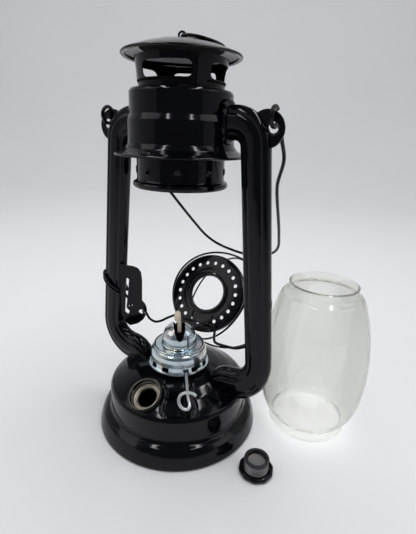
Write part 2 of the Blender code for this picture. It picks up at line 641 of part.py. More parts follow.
def make_lever():
    lift_arm = Vector(LEVER_LIFT_POINT) - Vector(LEVER_PIVOT)
    heading = math.atan2(lift_arm.y, lift_arm.x)
    start, end, half = LEVER_SLOT
    slot = []
    for reach, first in ((end, -90), (start, 90)):
        for k in range(5):
            angle = heading + math.radians(first + 45 * k)
            slot.append((LEVER_PIVOT[0] + reach * math.cos(heading) + half * math.cos(angle),
                         LEVER_PIVOT[1] + reach * math.sin(heading) + half * math.sin(angle)))
    pivot_hole = [(LEVER_PIVOT[0] + a, LEVER_PIVOT[1] + b) for a, b in circle(CLIP_WIRE / 2 + 0.35, 12)]
    bm = bmesh.new()
    plate_of(bm, [LEVER_OUTLINE, LEVER_WINDOW, slot, pivot_hole], lever_point, LEVER_THICK / 2)
    add_object("lift_lever", bm, FINISH["black_enamel"], lever_point(*LEVER_PIVOT))

    pin = lever_point(*LEVER_PIVOT)
    leg = [pin + LEVER_NORMAL * 1.9, pin - LEVER_NORMAL * 2.4, pin - LEVER_NORMAL * 3.4 + Z * 2.0]
    loop = []
    for k in range(17):
        angle = math.radians(-8 - 20 * k)
        z = 91.2 - 6.2 * math.cos(angle)
        centre_x = -(49.0 + (188.0 - z) * TUBE_LEAN)
        loop.append(Vector((centre_x + (TUBE_A + 1.35) * math.cos(angle),
                            (TUBE_B + 1.55) * math.sin(angle), z)))
    path = leg[:2] + smooth_path([leg[2]] + [Vector((-48.2, 0.6, 82.5))] + loop, 2)
    wire("lever_clip", path, CLIP_WIRE, FINISH["lift_wire"])


# ---------------------------------------------------------------- loose pieces

def make_globe():
    lathe("globe", shell(GLOBE_SKIN, GLASS), FINISH["globe_glass"], ROUND, Matrix.Translation(GLOBE_AT), GLOBE_AT)


def make_cap():
    frame = Matrix.Translation(CAP_AT)
    head = [(0.0, 0.0), (10.2, 0.0), (11.1, 0.9), (11.1, 4.2), (10.4, 5.0), (9.6, 5.0), (9.0, 3.4), (0.0, 3.4)]
    barrel = [(0.0, 3.7), (7.2, 3.7), (7.2, 11.4), (6.2, 11.4), (6.2, 4.7), (0.0, 4.7)]
    lathe("filler_cap", head, FINISH["black_enamel"], 20, frame, CAP_AT)
    lathe("cap_barrel", barrel, FINISH["zinc"], 20, frame, CAP_AT)
    lathe("cap_gasket", ring_outline(5.9, 7.8, 11.7, 13.6), FINISH["gasket"], 20, frame, CAP_AT)
    lathe("cap_disc", disc_outline(5.7, 9.8, 10.8), FINISH["zinc"], 20, frame, CAP_AT)


clear_scene()
FINISH = {
    "black_enamel": material("black_enamel", (0.012, 0.013, 0.017), 0.16, 0.0),
    "zinc": material("zinc", (0.62, 0.66, 0.70), 0.30, 1.0),
    "brass": material("brass", (0.60, 0.52, 0.38), 0.35, 1.0),
    "wick_cotton": material("wick_cotton", (0.74, 0.68, 0.55), 0.95, 0.0),
    "globe_glass": material("globe_glass", (0.95, 0.97, 0.92), 0.03, 0.0, 1.0),
    "spring_steel": material("spring_steel", (0.35, 0.36, 0.38), 0.35, 1.0),
    "bail_wire": material("bail_wire", (0.015, 0.016, 0.020), 0.22, 0.0),
    "lift_wire": material("lift_wire", (0.015, 0.016, 0.020), 0.22, 0.0),
    "gasket": material("gasket", (0.02, 0.02, 0.022), 0.7, 0.0),
}
make_tank()
TUBE_CUTTERS = make_air_tubes()
make_burner()
make_wick()
make_key()
make_hood(TUBE_CUTTERS)
make_ears(TUBE_CUTTERS)
make_bail()
make_chimney()
make_lid_ring()
make_plate()
make_lift_wire()
make_lever()
make_globe()
make_cap()
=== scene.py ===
"""Looks of the barn lantern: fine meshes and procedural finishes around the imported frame.

Lengths in tables and arguments are millimetres in the lantern's own frame; MM turns them into metres.
"""

import json
import math

import bmesh
import bpy
from mathutils import Matrix, Vector, noise


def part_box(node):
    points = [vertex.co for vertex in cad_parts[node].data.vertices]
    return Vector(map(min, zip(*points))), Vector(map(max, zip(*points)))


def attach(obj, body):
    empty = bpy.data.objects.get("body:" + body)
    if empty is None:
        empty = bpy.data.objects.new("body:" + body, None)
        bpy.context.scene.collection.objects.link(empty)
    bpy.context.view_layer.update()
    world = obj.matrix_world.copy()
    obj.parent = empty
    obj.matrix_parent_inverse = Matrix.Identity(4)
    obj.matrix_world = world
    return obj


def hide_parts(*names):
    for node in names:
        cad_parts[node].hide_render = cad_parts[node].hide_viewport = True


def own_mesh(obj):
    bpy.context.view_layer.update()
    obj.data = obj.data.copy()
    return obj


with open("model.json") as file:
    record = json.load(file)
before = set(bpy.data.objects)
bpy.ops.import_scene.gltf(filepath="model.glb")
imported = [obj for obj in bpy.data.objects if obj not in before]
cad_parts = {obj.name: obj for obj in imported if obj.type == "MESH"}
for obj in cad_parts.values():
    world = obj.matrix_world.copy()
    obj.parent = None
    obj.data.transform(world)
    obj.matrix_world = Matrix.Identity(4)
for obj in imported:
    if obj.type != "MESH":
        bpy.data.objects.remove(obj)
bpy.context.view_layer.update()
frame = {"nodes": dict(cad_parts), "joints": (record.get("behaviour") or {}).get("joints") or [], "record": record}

MM = 0.001
SHEET = 0.8
ROUND = 112
X, Y, Z = Vector((1, 0, 0)), Vector((0, 1, 0)), Vector((0, 0, 1))
JOINTS = {j["name"]: j for j in frame["joints"]}


def low(node):
    """Lowest corner of a CAD node in millimetres."""
    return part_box(node)[0] / MM


def high(node):
    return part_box(node)[1] / MM


def middle(node):
    return (low(node) + high(node)) / 2


def pivot(joint):
    return Vector(JOINTS[joint]["pos_m"]) / MM


# ---------------------------------------------------------------- camera and stage

CAMERA_AT = (0.1329, -0.1971, 0.2000)
CAMERA_TURN = (29.48, 70.67, 2.10)   # round Z, then X, then Z again
CAMERA_LENS = 25.47
# level directions away from the camera and across its view
AWAY = Vector((-0.492, 0.8705, 0.0))
ASIDE = Vector((0.8705, 0.492, 0.0))


def make_camera():
    data = bpy.data.cameras.new("camera")
    data.lens = CAMERA_LENS
    data.sensor_width = 36.0
    data.clip_start = 0.01
    camera = bpy.data.objects.new("camera", data)
    heading, tip, roll = (math.radians(a) for a in CAMERA_TURN)
    turn = Matrix.Rotation(heading, 4, "Z") @ Matrix.Rotation(tip, 4, "X") @ Matrix.Rotation(roll, 4, "Z")
    camera.matrix_world = Matrix.Translation(CAMERA_AT) @ turn
    bpy.context.scene.collection.objects.link(camera)
    bpy.context.scene.camera = camera


def area_light(name, at, target, size, watts, colour=(1, 1, 1)):
    data = bpy.data.lights.new(name, "AREA")
    data.shape = "RECTANGLE"
    data.size, data.size_y = size
    data.energy = watts
    data.color = colour
    lamp = bpy.data.objects.new(name, data)
    lamp.location = at
    lamp.rotation_euler = (Vector(target) - Vector(at)).to_track_quat("-Z", "Y").to_euler()
    bpy.context.scene.collection.objects.link(lamp)
    return lamp


def tube_light(name, at, along, size, watts):
    """A long lamp that shines down, its long side turned to run with `along`."""
    lamp = area_light(name, at, at - Vector((0, 0, 1)), size, watts)
    lamp.rotation_euler = (0.0, 0.0, math.atan2(along.y, along.x) - math.pi / 2)
    return lamp


def shader_of(name):
    made = bpy.data.materials.new(name)
    made.use_nodes = True
    return made, made.node_tree, made.node_tree.nodes["Principled BSDF"]


def node(tree, kind, **values):
    made = tree.nodes.new(kind)
    for key, value in values.items():
        if key in made.inputs:
            made.inputs[key].default_value = value
        else:
            setattr(made, key, value)
    return made


def make_stage():
    """A pale sweep: a round floor that curves up into a wall, and soft lights round it."""
    bm = bmesh.new()
    profile = [(0.0, 0.0), (0.6, 0.0), (1.1, 0.0)]
    for k in range(1, 9):
        angle = math.radians(90) * k / 8
        profile.append((1.1 + 0.9 * math.sin(angle), 0.9 * (1 - math.cos(angle))))
    profile.append((2.0, 2.6))
    steps = 72
    rings = [[bm.verts.new((r * math.cos(math.tau * k / steps), r * math.sin(math.tau * k / steps), z))
              for k in range(steps)] for r, z in profile[1:]]
    centre = bm.verts.new((0, 0, 0))
    for k in range(steps):
        j = (k + 1) % steps
        bm.faces.new((centre, rings[0][k], rings[0][j]))
        for a, b in zip(rings, rings[1:]):
            bm.faces.new((a[k], b[k], b[j], a[j]))
    # the front of the room is left open and dark
    doomed = []
    for face in bm.faces:
        out = face.calc_center_median().to_2d()
        if out.length > 1.1 and out.dot(AWAY.to_2d()) < -0.62 * out.length:
            doomed.append(face)
    bmesh.ops.delete(bm, geom=doomed, context="FACES")
    mesh = bpy.data.meshes.new("sweep")
    bm.to_mesh(mesh)
    bm.free()
    mesh.shade_smooth()
    sweep = bpy.data.objects.new("sweep", mesh)
    bpy.context.scene.collection.objects.link(sweep)
    finish, tree, shader = shader_of("pale_floor")
    shader.inputs["Roughness"].default_value = 0.55
    shader.inputs["Specular IOR Level"].default_value = 0.3
    coords = node(tree, "ShaderNodeTexCoord")
    cloud = node(tree, "ShaderNodeTexNoise", Scale=3.0, Detail=2.0)
    ramp = node(tree, "ShaderNodeValToRGB")
    ramp.color_ramp.elements[0].color = (0.70, 0.705, 0.72, 1)
    ramp.color_ramp.elements[1].color = (0.735, 0.74, 0.752, 1)
    tree.links.new(coords.outputs["Object"], cloud.inputs["Vector"])
    tree.links.new(cloud.outputs["Fac"], ramp.inputs["Fac"])
    tree.links.new(ramp.outputs["Color"], shader.inputs["Base Color"])
    mesh.materials.append(finish)

    world = bpy.data.worlds.new("room")
    world.use_nodes = True
    world.node_tree.nodes["Background"].inputs["Color"].default_value = (0.10, 0.105, 0.115, 1)
    bpy.context.scene.world = world
    overhead = area_light("overhead", (-0.1, 0.25, 1.5), (-0.1, 0.25, 0), (1.6, 1.6), 7.5)
    overhead.visible_glossy = False
    wash = area_light("wall_wash", (-0.35, 0.6, 1.9), (-0.9, 1.7, 0.5), (1.2, 0.6), 13.0)
    wash.visible_glossy = False
    # a pair of tube lights overhead, running towards the back of the room, and a soft panel on each side
    for name, offset in (("tube_left", -0.30), ("tube_right", 0.30)):
        tube_light(name, ASIDE * offset - AWAY * 0.10 + Z * 0.85, AWAY, (0.055, 1.0), 2.3)
    for name, offset in (("panel_left", -1.15), ("panel_right", 1.15)):
        area_light(name, ASIDE * offset - AWAY * 0.25 + Z * 0.95, (0, 0, 0.15), (0.9, 0.9), 2.7)
    bpy.context.scene.view_settings.view_transform = "Standard"


# ---------------------------------------------------------------- finishes

def ramp_of(tree, stops):
    made = tree.nodes.new("ShaderNodeValToRGB")
    while len(made.color_ramp.elements) > 1:
        made.color_ramp.elements.remove(made.color_ramp.elements[-1])
    first = True
    for at, colour in stops:
        spot = made.color_ramp.elements[0] if first else made.color_ramp.elements.new(at)
        spot.position = at
        spot.color = (*colour, 1)
        first = False
    return made


def bump_of(tree, shader, height, strength, distance, below=None):
    made = node(tree, "ShaderNodeBump", Strength=strength, Distance=distance)
    tree.links.new(height, made.inputs["Height"])
    if below is not None:
        tree.links.new(below.outputs["Normal"], made.inputs["Normal"])
    tree.links.new(made.outputs["Normal"], shader.inputs["Normal"])
    return made


def enamel(name, dark, light, rough=(0.06, 0.14), wave=0.22, shine=0.27):
    """Dipped gloss enamel: slow waves, fine orange peel, and a few dust specks."""
    made, tree, shader = shader_of(name)
    coords = node(tree, "ShaderNodeTexCoord")
    slow = node(tree, "ShaderNodeTexNoise", Scale=55.0, Detail=2.0)
    peel = node(tree, "ShaderNodeTexNoise", Scale=420.0, Detail=3.0)
    dust = node(tree, "ShaderNodeTexVoronoi", Scale=520.0)
    for made_node in (slow, peel, dust):
        tree.links.new(coords.outputs["Object"], made_node.inputs["Vector"])
    tone = ramp_of(tree, [(0.35, dark), (0.70, light)])
    tree.links.new(slow.outputs["Fac"], tone.inputs["Fac"])
    specks = ramp_of(tree, [(0.0, (1, 1, 1)), (0.055, (0, 0, 0))])
    tree.links.new(dust.outputs["Distance"], specks.inputs["Fac"])
    patch = ramp_of(tree, [(0.56, (0, 0, 0)), (0.70, (1, 1, 1))])
    tree.links.new(peel.outputs["Fac"], patch.inputs["Fac"])
    both = node(tree, "ShaderNodeMath", operation="MULTIPLY")
    tree.links.new(specks.outputs["Color"], both.inputs[0])
    tree.links.new(patch.outputs["Color"], both.inputs[1])
    mix = node(tree, "ShaderNodeMix", data_type="RGBA")
    mix.inputs["B"].default_value = (0.06, 0.06, 0.065, 1)
    tree.links.new(both.outputs["Value"], mix.inputs["Factor"])
    tree.links.new(tone.outputs["Color"], mix.inputs["A"])
    tree.links.new(mix.outputs["Result"], shader.inputs["Base Color"])
    gloss = node(tree, "ShaderNodeMapRange")
    gloss.inputs["To Min"].default_value, gloss.inputs["To Max"].default_value = rough
    tree.links.new(peel.outputs["Fac"], gloss.inputs["Value"])
    tree.links.new(gloss.outputs["Result"], shader.inputs["Roughness"])
    first = bump_of(tree, shader, slow.outputs["Fac"], wave, 0.0016)
    bump_of(tree, shader, peel.outputs["Fac"], 0.10, 0.00025, first)
    shader.inputs["IOR"].default_value = 1.5
    shader.inputs["Specular IOR Level"].default_value = shine
    return made


def zinc(name, base, tinge, rough=(0.16, 0.34)):
    """Passivated zinc: pale metal with faint blue, straw and rose tinges, and drawing marks."""
    made, tree, shader = shader_of(name)
    shader.inputs["Metallic"].default_value = 1.0
    coords = node(tree, "ShaderNodeTexCoord")
    cloud = node(tree, "ShaderNodeTexNoise", Scale=48.0, Detail=3.0, Distortion=0.8)
    stretch = node(tree, "ShaderNodeMapping")
    stretch.inputs["Scale"].default_value = (60.0, 60.0, 700.0)
    marks = node(tree, "ShaderNodeTexNoise", Scale=1.0, Detail=4.0)
    tree.links.new(coords.outputs["Object"], cloud.inputs["Vector"])
    tree.links.new(coords.outputs["Object"], stretch.inputs["Vector"])
    tree.links.new(stretch.outputs["Vector"], marks.inputs["Vector"])
    blue = tuple(b * t for b, t in zip(base, tinge[0]))
    straw = tuple(b * t for b, t in zip(base, tinge[1]))
    rose = tuple(b * t for b, t in zip(base, tinge[2]))
    tone = ramp_of(tree, [(0.30, straw), (0.40, base), (0.50, blue), (0.60, base), (0.68, rose), (0.76, blue)])
    tree.links.new(cloud.outputs["Fac"], tone.inputs["Fac"])
    tree.links.new(tone.outputs["Color"], shader.inputs["Base Color"])
    gloss = node(tree, "ShaderNodeMapRange")
    gloss.inputs["To Min"].default_value, gloss.inputs["To Max"].default_value = rough
    tree.links.new(marks.outputs["Fac"], gloss.inputs["Value"])
    tree.links.new(gloss.outputs["Result"], shader.inputs["Roughness"])
    first = bump_of(tree, shader, marks.outputs["Fac"], 0.12, 0.0002)
    bump_of(tree, shader, cloud.outputs["Fac"], 0.10, 0.0008, first)
    return made


def cotton(name):
    """Woven tape: rows of warp and weft, in warm tones."""
    made, tree, shader = shader_of(name)
    coords = node(tree, "ShaderNodeTexCoord")
    warp = node(tree, "ShaderNodeTexWave", wave_type="BANDS", bands_direction="DIAGONAL", Scale=420.0,
                Distortion=2.0)
    weft = node(tree, "ShaderNodeTexWave", wave_type="BANDS", bands_direction="Z", Scale=520.0, Distortion=1.5)
    fuzz = node(tree, "ShaderNodeTexNoise", Scale=900.0, Detail=4.0)
    for made_node in (warp, weft, fuzz):
        tree.links.new(coords.outputs["Object"], made_node.inputs["Vector"])
    weave = node(tree, "ShaderNodeMath", operation="MULTIPLY")
    tree.links.new(warp.outputs["Fac"], weave.inputs[0])
    tree.links.new(weft.outputs["Fac"], weave.inputs[1])
    tone = ramp_of(tree, [(0.0, (0.50, 0.41, 0.30)), (0.5, (0.74, 0.66, 0.54)), (1.0, (0.86, 0.80, 0.70))])
    tree.links.new(weave.outputs["Value"], tone.inputs["Fac"])
    tree.links.new(tone.outputs["Color"], shader.inputs["Base Color"])
    shader.inputs["Roughness"].default_value = 0.95
    shader.inputs["Sheen Weight"].default_value = 0.4
    first = bump_of(tree, shader, weave.outputs["Value"], 0.6, 0.0004)
    bump_of(tree, shader, fuzz.outputs["Fac"], 0.5, 0.0003, first)
    return made


def glass(name):
    """Clear glass with slow swirls; its body takes light, so long paths at the edges look olive."""
    made, tree, shader = shader_of(name)
    coords = node(tree, "ShaderNodeTexCoord")
    swirl = node(tree, "ShaderNodeTexNoise", Scale=24.0, Detail=1.0)
    tree.links.new(coords.outputs["Object"], swirl.inputs["Vector"])
    tone = ramp_of(tree, [(0.3, (0.968, 0.975, 0.935)), (0.7, (0.985, 0.988, 0.965))])
    tree.links.new(swirl.outputs["Fac"], tone.inputs["Fac"])
    tree.links.new(tone.outputs["Color"], shader.inputs["Base Color"])
    shader.inputs["Transmission Weight"].default_value = 1.0
    shader.inputs["Roughness"].default_value = 0.0
    shader.inputs["IOR"].default_value = 1.46
    shader.inputs["Alpha"].default_value = 0.85
    body = node(tree, "ShaderNodeVolumeAbsorption", Density=38.0)
    body.inputs["Color"].default_value = (0.40, 0.42, 0.26, 1)
    tree.links.new(body.outputs["Volume"], tree.nodes["Material Output"].inputs["Volume"])
    bump_of(tree, shader, swirl.outputs["Fac"], 0.12, 0.002)
    return made


def rubber(name):
    """Dark rubber with a fine grain."""
    made, tree, shader = shader_of(name)
    coords = node(tree, "ShaderNodeTexCoord")
    grain = node(tree, "ShaderNodeTexNoise", Scale=800.0, Detail=3.0)
    tree.links.new(coords.outputs["Object"], grain.inputs["Vector"])
    tone = ramp_of(tree, [(0.3, (0.004, 0.004, 0.005)), (0.7, (0.012, 0.012, 0.014))])
    tree.links.new(grain.outputs["Fac"], tone.inputs["Fac"])
    tree.links.new(tone.outputs["Color"], shader.inputs["Base Color"])
    shader.inputs["Roughness"].default_value = 0.42
    bump_of(tree, shader, grain.outputs["Fac"], 0.25, 0.0003)
    return made


# ---------------------------------------------------------------- mesh helpers

def fillet(points, radius, steps=4):
    """Rounds the inner corners of an open outline."""
    points = [Vector(p) for p in points]
    out = [points[0]]
    for before, corner, after in zip(points, points[1:], points[2:]):
        a, b = before - corner, after - corner
        turn = a.angle(b)
        if turn > math.radians(172):
            out.append(corner)
            continue
        reach = min(radius / math.tan(turn / 2), 0.45 * a.length, 0.45 * b.length)
        start, end = corner + a.normalized() * reach, corner + b.normalized() * reach
        for k in range(steps + 1):
            t = k / steps
            out.append(start * (1 - t) ** 2 + corner * 2 * t * (1 - t) + end * t ** 2)
    out.append(points[-1])
    return out


def shell(skin, wall=SHEET):
    """A closed outline: the skin, bottom to top, and the same line moved inwards by the wall."""
    points = [Vector(p) for p in skin]
    inside = []
    for i, point in enumerate(points):
        normals = []
        for a, b in ((i - 1, i), (i, i + 1)):
            if a >= 0 and b < len(points) and (points[b] - points[a]).length > 1e-6:
                run = (points[b] - points[a]).normalized()
                normals.append(Vector((-run.y, run.x)))
        mean = sum(normals, Vector((0.0, 0.0))).normalized()
        inside.append(point + mean * wall / max(0.6, mean.dot(normals[0])))
        if point.x < 1e-6:
            inside[-1].x = 0.0
    return points + list(reversed(inside))


def turned(bm, outline, steps=ROUND, place=Matrix.Identity(4), warp=None, angles=None):
    """A closed (radius, height) outline turned round Z. warp(r, angle, z) may move its points."""
    columns = []
    on_axis = {}
    for angle in angles or [math.tau * k / steps for k in range(steps)]:
        column = []
        for i, (r, z) in enumerate(outline):
            if r < 1e-6:
                if i not in on_axis:
                    on_axis[i] = bm.verts.new(place @ Vector((0, 0, z)))
                column.append(on_axis[i])
                continue
            r2, a2, z2 = warp(r, angle, z) if warp else (r, angle, z)
            column.append(bm.verts.new(place @ Vector((r2 * math.cos(a2), r2 * math.sin(a2), z2))))
        columns.append(column)
    count = len(outline)
    for first, second in zip(columns, columns[1:] + columns[:1]):
        for i in range(count):
            j = (i + 1) % count
            ring = []
            for v in (first[i], second[i], second[j], first[j]):
                if v not in ring:
                    ring.append(v)
            if len(ring) > 2:
                bm.faces.new(ring)


def smooth_path(points, per_span=8, closed=False):
    points = [Vector(p) for p in points]
    count = len(points)
    out = []
    for i in range(count if closed else count - 1):
        if closed:
            p0, p1, p2, p3 = (points[(i + k) % count] for k in (-1, 0, 1, 2))
        else:
            p0, p1, p2, p3 = (points[min(max(i + k, 0), count - 1)] for k in (-1, 0, 1, 2))
        for k in range(per_span):
            t = k / per_span
            out.append(0.5 * (2 * p1 + (p2 - p0) * t + (2 * p0 - 5 * p1 + 4 * p2 - p3) * t ** 2
                              + (3 * p1 - p0 - 3 * p2 + p3) * t ** 3))
    if not closed:
        out.append(points[-1])
    return out


def path_frames(path, closed, side=None):
    count = len(path)
    frames = []
    across = None
    for i, point in enumerate(path):
        before = path[i - 1] if closed or i else point
        after = path[(i + 1) % count] if closed or i < count - 1 else point
        along = (after - before).normalized()
        if side is not None:
            across = side
        elif across is None:
            across = along.orthogonal().normalized()
        across = (across - along * across.dot(along)).normalized()
        frames.append((point, across, along.cross(across)))
    if closed and side is None:
        last_across, last_up = frames[-1][1:]
        twist = math.atan2(frames[0][1].dot(last_up), frames[0][1].dot(last_across))
        for i, (point, a, u) in enumerate(frames):
            angle = twist * i / count
            c, s = math.cos(angle), math.sin(angle)
            frames[i] = (point, a * c + u * s, u * c - a * s)
    return frames


def swept(bm, path, sections, closed=False, side=None, caps=True):
    """Sweeps a list of sections, one (across, up) loop for each point of the path."""
    rings = [[bm.verts.new(p + across * a + up * b) for a, b in sections[i]]
             for i, (p, across, up) in enumerate(path_frames(path, closed, side))]
    for first, second in (zip(rings, rings[1:] + rings[:1]) if closed else zip(rings, rings[1:])):
        for k in range(len(first)):
            j = (k + 1) % len(first)
            bm.faces.new((first[k], first[j], second[j], second[k]))
    if caps and not closed:
        bm.faces.new(rings[0])
        bm.faces.new(rings[-1])
    return rings


def circle(radius, sides):
    return [(radius * math.cos(math.tau * k / sides), radius * math.sin(math.tau * k / sides))
            for k in range(sides)]


def rod(bm, start, end, radius, sides=24):
    start, end = Vector(start), Vector(end)
    turn = (end - start).to_track_quat("Z", "Y").to_matrix().to_4x4()
    bmesh.ops.create_cone(bm, cap_ends=True, segments=sides, radius1=radius, radius2=radius,
                          depth=(end - start).length, matrix=Matrix.Translation((start + end) / 2) @ turn)


def plate_of(bm, loops, place, half):
    """A flat plate with holes, the first loop its edge."""
    edges = []
    for loop in loops:
        verts = [bm.verts.new(place(a, b, -half)) for a, b in loop]
        edges += [bm.edges.new((a, b)) for a, b in zip(verts, verts[1:] + verts[:1])]
    filled = bmesh.ops.triangle_fill(bm, edges=edges, use_beauty=True)
    faces = [g for g in filled["geom"] if isinstance(g, bmesh.types.BMFace)]
    pushed = bmesh.ops.extrude_face_region(bm, geom=faces, use_keep_orig=True)
    moved = [g for g in pushed["geom"] if isinstance(g, bmesh.types.BMVert)]
    bmesh.ops.translate(bm, verts=moved, vec=place(0, 0, half) - place(0, 0, -half))


def make_object(name, bm, finish=None, sharp=32):
    bmesh.ops.recalc_face_normals(bm, faces=bm.faces)
    bmesh.ops.scale(bm, verts=bm.verts, vec=(MM, MM, MM))
    mesh = bpy.data.meshes.new(name)
    bm.to_mesh(mesh)
    bm.free()
    mesh.shade_smooth()
    mesh.set_sharp_from_angle(angle=math.radians(sharp))
    if finish is not None:
        mesh.materials.append(finish)
    made = bpy.data.objects.new(name, mesh)
    bpy.context.scene.collection.objects.link(made)
    return made


def body_of_node(cad_node):
    for body, members in frame["record"]["behaviour"]["bodies"].items():
        if cad_node in members:
            return body
    return "root"


def piece(cad_node, bm, finish, sharp=32, name=None):
    """A fine mesh that stands for a CAD node, on its body and with the given finish."""
    made = make_object(name or "fine_" + cad_node, bm, finish, sharp)
    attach(made, body_of_node(cad_node))
    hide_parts(cad_node)
    return made


def extra(name, beside, bm, finish, sharp=32):
    """A small added piece on the same body as a CAD node."""
    made = make_object(name, bm, finish, sharp)
    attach(made, body_of_node(beside))
    return made


def bake_cuts(obj, bodies):
    """Cuts the given bmeshes out of the object and applies the result."""
    tools = []
    for i, bm in enumerate(bodies):
        tool = make_object(f"cut_{obj.name}_{i}", bm)
        step = obj.modifiers.new("cut", "BOOLEAN")
        step.operation, step.solver, step.object = "DIFFERENCE", "EXACT", tool
        tools.append(tool)
    graph = bpy.context.evaluated_depsgraph_get()
    mesh = bpy.data.meshes.new_from_object(obj.evaluated_get(graph))
    obj.modifiers.clear()
    obj.data = mesh
    mesh.shade_smooth()
    mesh.set_sharp_from_angle(angle=math.radians(32))
    for tool in tools:
        bpy.data.objects.remove(tool)
    if not mesh.polygons:
        raise RuntimeError(f"nothing is left of {obj.name} after its cuts")


def wire_piece(cad_node, path, diameter, finish, closed=False, sides=16, wobble=0.0):
    bm = bmesh.new()
    if wobble:
        path = [p + noise.noise_vector(p * 0.05) * wobble for p in path]
    swept(bm, path, [circle(diameter / 2, sides)] * len(path), closed)
    return piece(cad_node, bm, finish, sharp=60)


# ---------------------------------------------------------------- tank

TANK_PROFILE = [(56.4, 0.0), (57.2, 1.3), (56.4, 4.8), (55.4, 8.0), (54.2, 10.6), (52.2, 12.6), (49.8, 14.0),
                (48.7, 16.6), (48.7, 30.0), (47.4, 32.2), (44.0, 34.5), (37.0, 38.3), (30.0, 41.0), (22.0, 42.7),
                (15.0, 43.2)]
KEY_SIDE = math.radians(36.5)
KEY_OUT = Vector((math.sin(KEY_SIDE), -math.cos(KEY_SIDE), 0.0))
KEY_ACROSS = Vector((math.cos(KEY_SIDE), math.sin(KEY_SIDE), 0.0))
NECK_AT = Vector((-0.9, -38.0, 39.0))
NECK = Matrix.Translation(NECK_AT) @ Matrix.Rotation(math.radians(30), 4, "X")


def bell(x, half):
    """1 at 0, falling smoothly to 0 at half."""
    t = min(1.0, abs(x) / half)
    return (1 - t * t) ** 2


def step_between(x, a, b):
    """0 up to a, 1 from b on, smooth between them."""
    t = min(1.0, max(0.0, (x - a) / (b - a)))
    return t * t * (3 - 2 * t)


def tank_warp(r, angle, z):
    """Presses a trough under the key with a crisp ridge on each side, a flat round the filler and tube feet."""
    if z < 30.5 or r < 16:
        return r, angle, z
    x, y = r * math.cos(angle), r * math.sin(angle)
    here = Vector((x, y, 0.0))
    out, across = here.dot(KEY_OUT), here.dot(KEY_ACROSS) + 1.5
    inside = step_between(out, 18.0, 24.0)
    half = 7.6 + 1.2 * math.sin(out * 0.35)
    trough = inside * (1 - step_between(abs(across), half, half + 1.6))
    ridge = inside * bell(abs(across) - half - 1.7, 1.8)
    filler = bell(math.hypot(x - NECK_AT.x, y - NECK_AT.y), 17.0)
    foot = bell(y, 11.0) * bell(r - 36.0, 16.0)
    edge = 1 - step_between(r, 44.5, 48.0)
    return r, angle, z + 0.9 * foot + edge * (0.45 * ridge - 1.1 * trough - 0.5 * filler)


def tank_angles():
    """Angles round the tank, closer together on the side with the key and the filler."""
    angles, angle = [], 0.0
    while angle < math.tau - 1e-6:
        angles.append(angle)
        turn = math.degrees(angle)
        angle += math.radians(0.75 if 250 <= turn < 345 else 2.5)
    return angles


def make_tank():
    bm = bmesh.new()
    skin = fillet(TANK_PROFILE, 2.2, 5)
    fine = [skin[0]]
    for a, b in zip(skin, skin[1:]):
        parts = max(1, math.ceil((b - a).length / 1.2)) if b.y > 30.0 else 1
        fine += [a.lerp(b, k / parts) for k in range(1, parts + 1)]
    turned(bm, shell(fine), warp=tank_warp, angles=tank_angles())
    body = piece("tank_body", bm, ENAMEL)
    hole = bmesh.new()
    rod(hole, NECK @ Vector((0, 0, -14)), NECK @ Vector((0, 0, 14)), 11.2, 48)
    bake_cuts(body, [hole])

    # bare metal shows on the mouth's edge, the thread crests and the step at the bottom of the thread
    ledge = [(6.4, -7.0), (9.5, -7.0), (9.5, -4.4), (8.8, -4.0), (8.1, -4.5), (7.3, -4.0), (6.5, -4.9)]
    bm = bmesh.new()
    turned(bm, fillet([ledge[0], *ledge[1:], ledge[0]], 0.3, 3)[:-1], 72, NECK)
    for r, z, half in ((10.55, 0.42, 0.15), (10.0, -1.0, 0.12), (9.8, -2.1, 0.12), (9.65, -3.1, 0.14)):
        turned(bm, [(r + half * a, z + half * b) for a, b in circle(1.0, 8)], 72, NECK)
    piece("filler_neck", bm, BRASS)
    # black enamelled lip and threaded wall
    lip = [(9.4, -4.6), (11.3, -4.6), (12.0, -0.6)]
    for k in range(7):
        angle = math.radians(30 * k)
        lip.append((11.35 + 0.65 * math.cos(angle), -0.1 + 0.6 * math.sin(angle)))
    for k in range(4):
        z = -0.5 - 1.05 * k
        lip += [(10.25 - 0.14 * k, z), (9.85 - 0.14 * k, z - 0.5)]
    bm = bmesh.new()
    turned(bm, lip, 72, NECK)
    extra("neck_lip", "tank_body", bm, ENAMEL)


# ---------------------------------------------------------------- air tubes

TUBE_A, TUBE_B, TUBE_LEAN = 8.5, 5.6, 0.0945


def tube_x(z):
    """Centre line of the right tube's straight run."""
    return 49.0 + (188.0 - z) * TUBE_LEAN


def tube_line():
    """(x, z, half width, half depth) along the right tube's centre line, from hood to tank."""
    lean = math.atan(TUBE_LEAN)
    top_z, top_r, low_z, low_r = 194.0, 12.5, 62.0, 19.5
    top_x = tube_x(top_z + top_r * math.sin(lean)) - top_r * math.cos(lean)
    low_x = tube_x(low_z + low_r * math.sin(lean)) - low_r * math.cos(lean)
    line = [(28.8, 206.5, 9.5, 5.6), (32.0, 206.5, 9.4, 5.6)]
    for k in range(15):
        angle = math.pi / 2 + (lean - math.pi / 2) * k / 14
        line.append((top_x + top_r * math.cos(angle), top_z + top_r * math.sin(angle), 9.2 - 0.045 * k, TUBE_B))
    for k in range(1, 14):
        z = 194.0 - 9.4 * k
        line.append((tube_x(z), z, TUBE_A, TUBE_B))
    for k in range(15):
        t = k / 14
        angle = lean - (math.pi / 2 + lean) * t
        line.append((low_x + low_r * math.cos(angle), low_z + low_r * math.sin(angle),
                     TUBE_A + 2.5 * (3 * t * t - 2 * t ** 3 if t < 0.8 else 0.9), TUBE_B + 0.6 * t))
    line += [(38.6, 42.2, 10.4, 6.3), (35.6, 41.4, 9.6, 6.4), (32.6, 40.0, 8.2, 6.3), (30.0, 38.2, 6.6, 6.0)]
    return line


